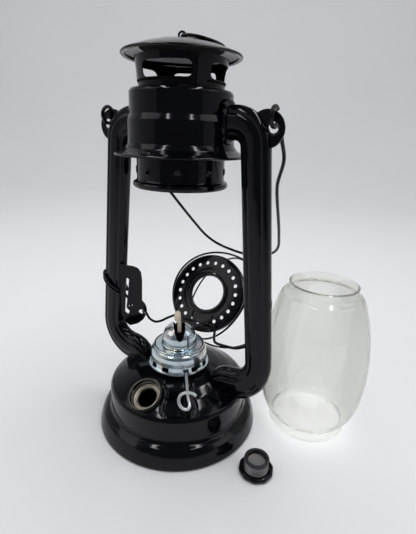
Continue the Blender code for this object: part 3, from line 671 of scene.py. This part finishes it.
def tube_section(wide, deep, sides=56):
    """A superellipse with two shallow flutes down each broad face."""
    out = []
    for k in range(sides):
        c, s = math.cos(math.tau * k / sides), math.sin(math.tau * k / sides)
        a = math.copysign(abs(c) ** 0.8, c)
        b = math.copysign(abs(s) ** 0.8, s)
        flute = 0.15 * (bell(a - 0.52, 0.16) + bell(a + 0.52, 0.16)) * bell(1 - abs(b), 0.7)
        out.append((b * deep * (1 - flute), a * wide))
    return out


def make_air_tubes():
    for side, name in ((-1, "left"), (1, "right")):
        line = tube_line()
        path = [Vector((side * x, 0.0, z)) for x, z, wide, deep in line]
        bm = bmesh.new()
        swept(bm, path, [tube_section(w, d) for x, z, w, d in line], side=Y)
        piece("air_tube_" + name, bm, ENAMEL)
        bm = bmesh.new()
        collar = [Vector((side * x, 0.0, 206.5)) for x in (29.6, 30.4, 31.4, 32.2, 32.8)]
        grow = (1.5, 2.4, 2.6, 2.0, 0.5)
        swept(bm, collar, [tube_section(9.5 + g, 5.6 + g) for g in grow], side=Y)
        extra("hood_collar_" + name, "hood", bm, ENAMEL)


# ---------------------------------------------------------------- burner

BURNER_PROFILE = [(21.0, 44.9), (21.4, 45.5), (20.9, 46.3), (20.1, 47.2), (19.7, 50.0), (19.8, 53.0),
                  (19.5, 55.6), (18.7, 57.4), (17.6, 58.1), (17.9, 58.9), (17.4, 59.6), (16.5, 59.2),
                  (12.6, 59.5), (9.0, 59.5)]
BURNER_INSIDE = [(20.4, 44.9), (20.3, 46.0), (19.5, 47.0), (19.1, 50.0), (19.2, 53.0), (18.9, 55.4),
                 (18.1, 57.0), (16.6, 57.8), (16.2, 58.6), (12.6, 58.9), (9.0, 58.9)]
CONE_PROFILE = [(12.6, 59.9), (12.1, 60.4), (11.9, 61.6), (11.9, 64.4), (11.5, 66.8), (10.4, 69.3),
                (8.6, 71.5), (6.0, 73.2), (3.0, 74.1), (0.0, 74.4)]


def key_frame():
    return Matrix((KEY_ACROSS, -KEY_OUT, Z)).transposed().to_4x4()


def cut_box(low_corner, high_corner, place, bm=None):
    bm = bm or bmesh.new()
    a, b = Vector(low_corner), Vector(high_corner)
    bmesh.ops.create_cube(bm, size=1.0, matrix=place @ Matrix.Translation((a + b) / 2)
                          @ Matrix.Diagonal((*(b - a), 1.0)))
    return bm


def paint_shade_inside(obj, reach=1.0):
    """Paints shade: puts the near-black painted-shade finish on the faces nearer the lantern's axis than reach that
    look at it or down.
    """
    obj.data.materials.append(SHADE_BLACK)
    for face in obj.data.polygons:
        out = Vector((face.center.x, face.center.y, 0.0))
        if out.length < reach and (out.normalized().dot(face.normal) < -0.15 or face.normal.z < -0.2):
            face.material_index = 1


def seam_cut(turn, inner, bottom, top, bm=None):
    """The dark line of a lap seam."""
    return cut_box((inner, -0.2, bottom), (23.0, 0.2, top), Matrix.Rotation(math.radians(turn), 4, "Z"), bm)


def make_burner():
    bm = bmesh.new()
    turned(bm, fillet(BURNER_PROFILE, 0.3, 3) + fillet(BURNER_INSIDE, 0.3, 3)[::-1], 128)
    base = piece("burner_base", bm, ZINC)
    cuts = seam_cut(-24, 17.4, 50.3, 56.4)
    for k in range(12):
        turn = Matrix.Rotation(math.tau * k / 12, 4, "Z") @ key_frame()
        if k:
            cut_box((-2.5, -26.0, 46.6), (2.5, -15.0, 49.8), turn, cuts)
        else:
            cut_box((2.4, -26.0, 44.0), (5.8, -15.0, 49.4), turn, cuts)
    bake_cuts(base, [cuts])

    bm = bmesh.new()
    turned(bm, shell(fillet(CONE_PROFILE, 1.5, 3), 0.5), 96)
    cone = piece("burner_cone", bm, ZINC)
    notch = bmesh.new()
    flank = [(0.9, 66.2), (2.0, 67.6), (3.9, 72.0), (4.6, 81.0)]
    edge = flank + [(-a, z) for a, z in reversed(flank)]
    plate_of(notch, [edge], lambda a, b, c: KEY_ACROSS * a + Z * b + KEY_OUT * c, 20.0)
    slot = cut_box((-2.7, -8.1, 60.0), (2.7, 8.1, 90.0), key_frame())
    bake_cuts(cone, [notch, slot, seam_cut(-27, 10.5, 60.6, 68.4)])
    # painted shade on the inward and downward faces of the cone and the burner base
    paint_shade_inside(cone)
    paint_shade_inside(base)

    # the wick tube and the tank collar take the near-black painted-shade finish
    for cad_node, finish in (("wick_tube", SHADE_BLACK), ("tank_collar", SHADE_BLACK), ("wick_wheel_a", DULL_ZINC),
                             ("wick_wheel_b", DULL_ZINC), ("globe_stop_ring", ENAMEL), ("plate_clip_left", ENAMEL),
                             ("plate_clip_right", ENAMEL)):
        frame["nodes"][cad_node].data.materials.clear()
        frame["nodes"][cad_node].data.materials.append(finish)


def make_wick():
    wide, thin = 13.0, 2.4
    rows = 60
    path, sections = [], []
    for k in range(rows + 1):
        z = 12.0 + 69.0 * k / rows
        t = max(0.0, (z - 75.5) / 5.5)
        path.append(KEY_ACROSS * (-1.9 * t * t) + Z * z)
        fray = 1.0 - 0.45 * max(0.0, t - 0.25)
        puff = 1.0 - 0.22 * bell(t - 0.25, 0.3) + 0.9 * bell(t - 0.8, 0.45)
        loop = []
        for i in range(40):
            angle = math.tau * i / 40
            c, s = math.cos(angle), math.sin(angle)
            a = math.copysign(abs(c) ** 0.5, c) * thin / 2 * puff
            b = math.copysign(abs(s) ** 0.35, s) * wide / 2 * fray
            ripple = 1 + (0.07 * math.sin(z * 3.1) + 0.06 * math.sin(i * 2.5 + z)) * (1 if z > 71 else 0.2)
            loop.append((a * ripple, b))
        sections.append(loop)
    bm = bmesh.new()
    rings = swept(bm, path, sections, side=KEY_ACROSS)
    for v in rings[-1]:
        v.co.z += 0.9 * noise.noise(v.co * 0.8)
    piece("wick", bm, COTTON, sharp=80)


KEY_OFFSET, KEY_Z, KEY_SLOPE = 4.0, 48.5, math.radians(4.3)


def key_point(out, across=0.0, above=0.0):
    along = KEY_OUT * math.cos(KEY_SLOPE) - Z * math.sin(KEY_SLOPE)
    up = KEY_OUT * math.sin(KEY_SLOPE) + Z * math.cos(KEY_SLOPE)
    return KEY_ACROSS * (KEY_OFFSET + across) + Z * KEY_Z + along * out + up * above


KEY_CURL = [(1.8, -2.6, -0.2), (0.4, -4.9, 0.2), (-2.6, -4.2, 0.5), (-4.5, -1.7, 0.8), (-4.8, 1.3, 1.1),
            (-3.2, 3.8, 1.5), (-0.2, 4.7, 1.9), (3.2, 4.2, 2.0), (5.8, 2.6, 1.9)]


def make_key():
    """The shank runs on into a hook that curls forward and round in front of it, tilted to the shank."""
    along = (key_point(1.0) - key_point(0.0)).normalized()
    across = (key_point(0.0, 1.0) - key_point(0.0)).normalized()
    up = (key_point(0.0, 0.0, 1.0) - key_point(0.0)).normalized()
    tilt = math.radians(43)
    lean, front = up * math.cos(tilt) - along * math.sin(tilt), up * math.sin(tilt) + along * math.cos(tilt)
    path = [key_point(-6.0), key_point(10.0), key_point(30.0), key_point(43.0)]
    path += [key_point(46.0, -1.0) + across * a + lean * b + front * c for a, b, c in KEY_CURL]
    path = smooth_path(path, 7)
    sections = []
    for i in range(len(path)):
        end = max(0.0, (i - (len(path) - 10)) / 10)
        sections.append([(a * (1 + 0.35 * end), b) for a, b in circle(0.96, 16)])
    bm = bmesh.new()
    swept(bm, path, sections)
    piece("wick_key", bm, BRIGHT_WIRE, sharp=60)


# ---------------------------------------------------------------- hood, ears and bail

HOOD_PROFILE = [(38.5, 187.0), (39.5, 187.5), (39.1, 188.3), (36.4, 189.5), (33.4, 191.4), (31.7, 194.0),
                (31.5, 196.0), (31.5, 206.6), (30.0, 209.6), (30.0, 221.2), (29.0, 222.8), (25.5, 223.0)]


def make_hood():
    bm = bmesh.new()
    turned(bm, shell(fillet(HOOD_PROFILE, 1.1, 4)), 144)
    piece("hood", bm, ENAMEL)
    spring = bmesh.new()
    path = []
    turns, around = 4, 40
    z0, z1 = low("chimney_spring").z + 0.6, high("chimney_spring").z - 0.6
    for k in range(turns * around + 1):
        angle = math.tau * k / around
        z = z0 + (z1 - z0) * k / (turns * around)
        path.append(Vector((27.3 * math.cos(angle), 27.3 * math.sin(angle), z)))
    swept(spring, path, [circle(0.6, 10)] * len(path))
    coil = piece("chimney_spring", spring, BRIGHT_WIRE, sharp=60)
    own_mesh(coil)


def make_ears():
    for side, name in ((-1, "left"), (1, "right")):
        edge = [(53.8 + a, 203.6 + b) for a, b in circle(10.0, 72)]
        hole = [(57.5 + a, 204.5 + b) for a, b in circle(3.3, 36)]
        bm = bmesh.new()
        plate_of(bm, [edge, hole], lambda a, b, c, side=side: Vector((side * a, c, b)), 0.8)
        ear = piece("ear_" + name, bm, ENAMEL)
        soft = ear.modifiers.new("edge", "BEVEL")
        soft.width, soft.segments, soft.limit_method = 0.45 * MM, 3, "ANGLE"
        bm = bmesh.new()
        rim = [Vector((side * (57.5 + a), 0.0, 204.5 + b)) for a, b in circle(3.75, 40)]
        swept(bm, rim, [circle(0.95, 12)] * len(rim), closed=True)
        extra("ear_rim_" + name, "ear_" + name, bm, ENAMEL, sharp=60)


BAIL_HALF = [(57.9, 9.5), (58.6, 16.3), (57.2, 31.0), (50.6, 48.8), (48.3, 56.5), (46.0, 69.2), (42.0, 96.6),
             (39.0, 114.5), (35.0, 132.5), (27.4, 144.6), (15.0, 152.0), (0.0, 155.6)]


def make_bail():
    hang = math.radians(44)
    back = Vector((0.0, math.sin(hang), -math.cos(hang)))
    over = Vector((0.0, math.cos(hang), math.sin(hang)))
    centre = pivot("bail_swing")
    hook = []
    for k in range(9):
        angle = math.radians(-262 + 33.5 * k)
        hook.append((57.6, 5.0 * math.cos(angle), 5.0 * math.sin(angle)))
    arm = [(x, s, 0.0 if s > 12.0 else 2.2) for x, s in BAIL_HALF]
    half = [centre + X * x + back * s + over * h for x, s, h in hook + arm]
    mirrored = [Vector((-p.x, p.y, p.z)) for p in reversed(half[:-1])]
    wire_piece("bail", smooth_path(half + mirrored, 7), 2.3, ENAMEL_WIRE)


# ---------------------------------------------------------------- chimney

SKIRT_PROFILE = [(27.8, 169.0), (28.7, 169.6), (28.9, 171.0), (28.4, 172.4), (27.0, 173.0), (26.5, 174.2),
                 (26.5, 190.0), (24.9, 191.4)]
COWL_PROFILE = [(24.7, 223.3), (24.8, 225.6), (25.2, 227.0), (26.2, 237.6), (26.4, 238.8)]
LID_PROFILE = [(31.6, 239.7), (33.4, 239.3), (33.9, 239.9), (33.6, 240.7), (30.0, 242.2), (24.0, 244.4),
               (16.0, 246.7), (9.0, 248.2), (4.0, 248.9), (0.0, 249.1)]


def make_chimney():
    bm = bmesh.new()
    turned(bm, shell(fillet(SKIRT_PROFILE, 0.8, 3)), 144)
    skirt = piece("chimney_skirt", bm, ENAMEL)
    holes = []
    for k in range(9):
        out = Matrix.Rotation(math.radians(40 * k + 20), 3, "Z") @ X
        hole = bmesh.new()
        rod(hole, out * 20.0 + Z * 179.0, out * 32.0 + Z * 179.0, 1.5, 24)
        holes.append(hole)
    bake_cuts(skirt, holes)
    rims = bmesh.new()
    for k in range(9):
        turn = Matrix.Rotation(math.radians(40 * k + 20), 4, "Z")
        ring = [turn @ Vector((26.55, a, 179.0 + b)) for a, b in circle(1.75, 28)]
        swept(rims, ring, [circle(0.42, 8)] * len(ring), closed=True)
    extra("skirt_hole_rims", "chimney_skirt", rims, ENAMEL, sharp=60)

    bm = bmesh.new()
    turned(bm, shell(fillet(COWL_PROFILE, 1.2, 3)), 144)
    cowl = piece("cowl", bm, ENAMEL)
    windows = []
    for k in range(4):
        turn = Matrix.Rotation(math.tau * k / 4 + math.radians(13), 4, "Z")
        corners = fillet([(0.0, 227.3), (-14.0, 227.3), (-14.0, 235.3), (14.0, 235.3), (14.0, 227.3),
                          (0.0, 227.3)], 3.6, 6)[:-1]
        tool = bmesh.new()
        plate_of(tool, [[tuple(c) for c in corners]],
                 lambda a, b, c, turn=turn: turn @ Vector((a, -27.0 + c, b)), 8.0)
        windows.append(tool)
    bake_cuts(cowl, windows)
    # lap seam down one pillar
    bm = bmesh.new()
    turn = Matrix.Rotation(math.radians(58 - 90), 4, "Z")
    seam = [turn @ Vector((r, 0.0, z)) for r, z in ((24.95, 224.4), (25.15, 226.6), (26.45, 238.0))]
    swept(bm, seam, [[(-3.0, -0.35), (3.0, -0.35), (3.0, 0.3), (-3.0, 0.3)]] * 3, side=turn.to_3x3() @ Y)
    extra("cowl_seam", "cowl", bm, ENAMEL)

    bm = bmesh.new()
    turned(bm, shell(fillet(LID_PROFILE, 2.0, 4), 0.7), 144,
           warp=lambda r, a, z: (r + 0.25 * math.sin(5 * a) * (r / 34) ** 3, a, z + 0.35 * math.sin(3 * a + 1)
                                 * (r / 34) ** 2))
    lid = piece("lid", bm, ENAMEL)
    # painted shade on the lid's underside within the cowl and on the cowl's inner and downward faces
    paint_shade_inside(lid, 26.5 * MM)
    paint_shade_inside(cowl)
    for cad_node in ("chimney_tube", "tank_bottom"):
        frame["nodes"][cad_node].data.materials.clear()
        frame["nodes"][cad_node].data.materials.append(ENAMEL)


def make_lid_ring():
    side = math.radians(40)
    out = Vector((math.cos(side), math.sin(side), 0.0))
    across = Vector((-out.y, out.x, 0.0))
    axis_at = pivot("lid_ring_swing")
    path = []
    for k in range(33):
        angle = math.radians(-38 + 256 * k / 32)
        path.append(axis_at + Z * 0.1 + out * (1.95 * math.cos(angle)) + Z * (1.95 * math.sin(angle)))
    wire_piece("lid_eyelet", path, 1.2, ENAMEL_WIRE)
    tilt = math.radians(11)
    slope = out * math.cos(tilt) - Z * math.sin(tilt)
    path = []
    for k in range(72):
        angle = math.tau * k / 72
        path.append(axis_at + slope * 12.05 * (1 - math.cos(angle)) + across * 9.05 * math.sin(angle))
    wire_piece("lid_ring", path, 1.9, ENAMEL_WIRE, closed=True)


# ---------------------------------------------------------------- globe lift

PLATE_LEAN = math.radians(121)
PLATE_REACH = 23.3


def plate_point(x, front, above):
    forward = Vector((0.0, -math.cos(PLATE_LEAN), math.sin(PLATE_LEAN)))
    upward = Vector((0.0, math.sin(PLATE_LEAN), math.cos(PLATE_LEAN)))
    return pivot("plate_tilt") + X * x + forward * front + upward * above


def make_plate():
    place = Matrix.Translation(plate_point(0.0, PLATE_REACH, 0.0)) @ Matrix.Rotation(-PLATE_LEAN, 4, "X")
    skin = [(13.4, 4.3), (13.4, 2.6), (14.0, 2.0), (15.2, 1.9), (16.0, 2.25), (18.0, 2.3), (20.0, 2.0), (29.2, 2.0),
           (30.0, 2.5), (30.4, 3.3), (30.4, 6.0)]
    bm = bmesh.new()
    turned(bm, shell(fillet(skin, 0.5, 3), 0.7), 132, place)
    plate = piece("globe_plate", bm, ENAMEL)
    tool = bmesh.new()
    for k in range(22):
        angle = math.tau * (k + 0.5) / 22
        x, front = 23.6 * math.cos(angle), PLATE_REACH + 23.6 * math.sin(angle)
        rod(tool, plate_point(x, front, -1.0), plate_point(x, front, 6.0), 1.4, 20)
    bake_cuts(plate, [tool])
    for name, low_at, half_wide in (("guard_hoop_a", -20, 37.0), ("guard_hoop_b", 137, 39.2)):
        low_at = math.radians(low_at)
        path = []
        for k in range(120):
            angle = math.tau * k / 120
            inward = 34.8 * math.cos(angle) - 3.2
            sideways = half_wide * math.sin(angle)
            x = inward * math.cos(low_at) - sideways * math.sin(low_at)
            front = inward * math.sin(low_at) + sideways * math.cos(low_at)
            path.append(plate_point(x, PLATE_REACH + front, 29.0 - 26.0 * math.cos(angle)))
        wire_piece(name, path, 1.5, ENAMEL_WIRE, closed=True, sides=12)


LEVER_AT = Vector((-50.8, -7.9, 0.0))
LEVER_ALONG = Vector((1.0, 1.0, 0.0)).normalized()
LEVER_NORMAL = Vector((1.0, -1.0, 0.0)).normalized()
LEVER_PIVOT = (10.2, 76.8)
LEVER_LIFT_POINT = (19.5, 70.0)
LEVER_OUTLINE = [(3.8, 110.7), (7.9, 109.0), (12.9, 107.9), (16.4, 106.2), (18.5, 103.0), (19.1, 96.6),
                 (18.7, 80.4), (21.2, 76.9), (22.3, 72.6), (21.7, 68.5), (19.3, 64.4), (15.2, 61.4), (9.1, 60.3),
                 (5.5, 64.1), (2.8, 71.1)]
LEVER_WINDOW = [(7.4, 99.7), (9.6, 98.0), (8.8, 89.3), (7.0, 75.6), (9.4, 72.0), (8.3, 69.7), (5.8, 72.4)]


def lever_point(along, height, off=0.0):
    return LEVER_AT + LEVER_ALONG * along + LEVER_NORMAL * off + Z * height


def closed_fillet(points, radius, steps=4):
    """Rounds every corner of a closed outline."""
    start = (Vector(points[0]) + Vector(points[-1])) / 2
    return [tuple(p) for p in fillet([start, *points, start], radius, steps)[:-1]]


def make_lever():
    arm = Vector(LEVER_LIFT_POINT) - Vector(LEVER_PIVOT)
    heading = math.atan2(arm.y, arm.x)
    slot = []
    for reach, first in ((11.7, -90), (9.2, 90)):
        for k in range(9):
            angle = heading + math.radians(first + 22.5 * k)
            slot.append((LEVER_PIVOT[0] + reach * math.cos(heading) + 1.55 * math.cos(angle),
                         LEVER_PIVOT[1] + reach * math.sin(heading) + 1.55 * math.sin(angle)))
    hole = [(LEVER_PIVOT[0] + a, LEVER_PIVOT[1] + b) for a, b in circle(1.25, 24)]
    bm = bmesh.new()
    loops = [closed_fillet(LEVER_OUTLINE, 2.0), closed_fillet(LEVER_WINDOW, 0.6), slot, hole]
    plate_of(bm, loops, lever_point, 0.5)
    lever = piece("lift_lever", bm, ENAMEL)
    soft = lever.modifiers.new("edge", "BEVEL")
    soft.width, soft.segments, soft.limit_method = 0.22 * MM, 2, "ANGLE"

    pin = lever_point(*LEVER_PIVOT)
    leg = [pin + LEVER_NORMAL * 1.9, pin - LEVER_NORMAL * 2.4, pin - LEVER_NORMAL * 3.4 + Z * 2.0]
    loop = []
    for k in range(17):
        angle = math.radians(-8 - 20 * k)
        z = 91.2 - 6.2 * math.cos(angle)
        centre_x = -tube_x(z)
        loop.append(Vector((centre_x + (TUBE_A + 1.35) * math.cos(angle), (TUBE_B + 1.55) * math.sin(angle), z)))
    path = leg[:2] + smooth_path([leg[2], Vector((-48.2, 0.6, 82.5))] + loop, 6)
    wire_piece("lever_clip", path, 1.8, ENAMEL_WIRE)
    # the hairpin's second strand, just above the first
    strand = [p + Z * 2.7 for p in smooth_path(loop[1:13], 6)]
    bm = bmesh.new()
    swept(bm, strand, [circle(0.9, 16)] * len(strand))
    extra("lever_clip_strand", "lever_clip", bm, ENAMEL_WIRE, sharp=60)


def make_lift_wire():
    hook = lever_point(*LEVER_LIFT_POINT)
    out, back = hook + LEVER_NORMAL * 2.6, hook - LEVER_NORMAL * 2.2
    turn = hook - LEVER_NORMAL * 4.0 + LEVER_ALONG * 1.6 - Z * 0.4
    left = smooth_path([back, turn, (-36.2, 12.0, 62.8), (-32.0, 14.0, 60.2), (-28.0, 16.0, 61.2),
                        (-24.0, 19.2, 63.6), (-20.0, 22.0, 65.6), (-17.0, 22.9, 66.2), (-13.0, 22.9, 66.2)], 8)
    right = smooth_path([(13.0, 22.9, 66.2), (17.0, 21.4, 66.0), (22.5, 10.5, 65.2), (27.0, 5.0, 65.0),
                         (35.0, 4.8, 65.0), (42.0, 6.0, 65.2), (47.0, 9.0, 66.4), (52.0, 9.6, 67.6),
                         (58.0, 9.2, 68.0), (63.5, 8.4, 67.6)], 8)
    wire_piece("lift_wire", [out] + left + right, 1.9, ENAMEL_WIRE)


# ---------------------------------------------------------------- loose pieces

GLOBE_PROFILE = [(26.9, 0.4), (27.3, 1.4), (26.8, 3.2), (26.1, 5.8), (26.5, 6.9), (28.4, 9.0), (30.6, 12.4),
                 (33.2, 18.0), (35.4, 27.0), (36.7, 39.0), (37.0, 51.0), (36.3, 63.0), (34.6, 75.0), (32.0, 86.0),
                 (29.3, 95.5), (27.9, 99.2), (26.4, 101.6), (24.2, 102.9), (23.0, 104.3), (22.6, 106.4),
                 (22.7, 108.0), (23.0, 108.8)]
GLASS_WALL = 1.5


def make_globe():
    at = Vector((middle("globe").x, middle("globe").y, 0.0))
    skin = [p.to_2d() for p in smooth_path([(r, z, 0.0) for r, z in GLOBE_PROFILE], 4)]
    bm = bmesh.new()
    turned(bm, shell(skin, GLASS_WALL), 144, Matrix.Translation(at))
    globe = piece("globe", bm, GLASS, sharp=70)
    globe.visible_shadow = False


def make_cap():
    at = Matrix.Translation(Vector((middle("filler_cap").x, middle("filler_cap").y, 0.0)))
    head = fillet([(0.0, 0.0), (9.6, 0.0), (10.9, 0.6), (11.1, 2.4), (10.5, 3.3), (9.4, 3.6), (8.6, 2.6),
                   (0.0, 2.6)], 0.4, 3)
    bm = bmesh.new()
    turned(bm, head, 96, at, warp=lambda r, a, z: (r * (1 - 0.035 * abs(math.sin(5 * a)) * (r > 9)), a, z))
    piece("filler_cap", bm, ENAMEL)
    barrel = [(0.0, 2.9), (7.7, 2.9)]
    for k in range(3):
        z = 3.3 + 1.75 * k
        barrel += [(7.2, z), (7.7, z + 0.5), (7.7, z + 0.9), (7.2, z + 1.4)]
    barrel += [(7.2, 8.6), (6.2, 8.6), (6.2, 4.0), (0.0, 4.0)]
    bm = bmesh.new()
    turned(bm, barrel, 80, at)
    piece("cap_barrel", bm, DULL_ZINC)
    ring = []
    for k in range(20):
        angle = math.tau * k / 20
        c, s = math.cos(angle), math.sin(angle)
        ring.append((6.85 + math.copysign(abs(c) ** 0.6, c), 9.7 + math.copysign(abs(s) ** 0.6, s) * 1.0))
    bm = bmesh.new()
    turned(bm, ring, 80, at)
    piece("cap_gasket", bm, RUBBER)
    bm = bmesh.new()
    turned(bm, [(0.0, 7.4), (5.4, 7.4), (5.7, 7.7), (5.4, 8.1), (4.6, 8.0), (0.0, 7.9)], 64, at)
    piece("cap_disc", bm, DULL_ZINC)


make_camera()
make_stage()
ENAMEL = enamel("enamel", (0.0012, 0.0015, 0.0022), (0.0026, 0.0031, 0.0042))
ENAMEL_WIRE = enamel("enamel_wire", (0.0020, 0.0022, 0.0027), (0.0042, 0.0046, 0.0056), (0.14, 0.26), 0.4)
ZINC = zinc("zinc_plate", (0.66, 0.71, 0.73), ((0.84, 0.98, 1.08), (1.12, 1.02, 0.70), (1.18, 0.86, 0.78)),
            (0.17, 0.30))
# near-black matte enamel that is painted shade inside the burner, cowl and lid and on the wick tube and tank collar
SHADE_BLACK = enamel("painted_shade_black", (0.002, 0.002, 0.002), (0.007, 0.006, 0.0055), (0.5, 0.8), 0.3, 0.04)
DULL_ZINC = zinc("dull_zinc", (0.26, 0.255, 0.25), ((0.95, 0.97, 1.0), (1.04, 1.0, 0.92), (1.0, 0.97, 0.95)),
                 (0.40, 0.62))
BRIGHT_WIRE = zinc("bright_wire", (0.72, 0.74, 0.75), ((0.96, 0.99, 1.02), (1.0, 1.0, 0.96), (1.0, 0.98, 0.96)),
                   (0.22, 0.40))
BRASS = zinc("thread_brass", (0.50, 0.45, 0.37), ((1.0, 1.0, 1.0), (1.05, 0.98, 0.82), (0.94, 0.88, 0.80)),
             (0.30, 0.50))
COTTON = cotton("wick_tape")
GLASS = glass("globe_glass")
RUBBER = rubber("gasket_rubber")
make_tank()
make_air_tubes()
make_burner()
make_wick()
make_key()
make_hood()
make_ears()
make_bail()
make_chimney()
make_lid_ring()
make_plate()
make_lever()
make_lift_wire()
make_globe()
make_cap()
